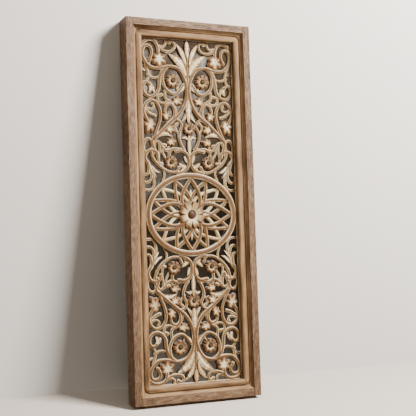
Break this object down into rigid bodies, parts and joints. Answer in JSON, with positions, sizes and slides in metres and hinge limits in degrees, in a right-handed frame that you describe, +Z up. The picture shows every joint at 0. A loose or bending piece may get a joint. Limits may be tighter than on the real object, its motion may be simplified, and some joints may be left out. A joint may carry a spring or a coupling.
{
  "type": "carved wall panel",
  "caption": "Tall wooden wall panel: a deep frame with an inner moulding around a pierced board carved with scrolling stems, leaves, flowers and an oval medallion.",
  "frame": {"origin": "middle of the flat back face of the top rail, where the panel is fixed to a wall", "axes": "+Z up along the panel's height, +Y into the wall, so the carved front faces -Y, and +X to the viewer's right"},
  "size_m": [0.35, 0.055, 0.9901],
  "materials": {
    "frame_wood": "open-grained brown wood rubbed with pale lime, matt, darker at the edges",
    "moulding_wood": "smooth warm tan wood with a thin pale wash, matt",
    "carving_wood": "cream whitewash worn through to brown along the crests and leaf tips, matt"
  },
  "bodies": {
    "root": {"stile_left": "frame_wood", "stile_right": "frame_wood", "rail_top": "frame_wood", "rail_bottom": "frame_wood", "moulding_left": "moulding_wood", "moulding_right": "moulding_wood", "moulding_top": "moulding_wood", "moulding_bottom": "moulding_wood", "carving": "carving_wood"}
  },
  "joints": []
}
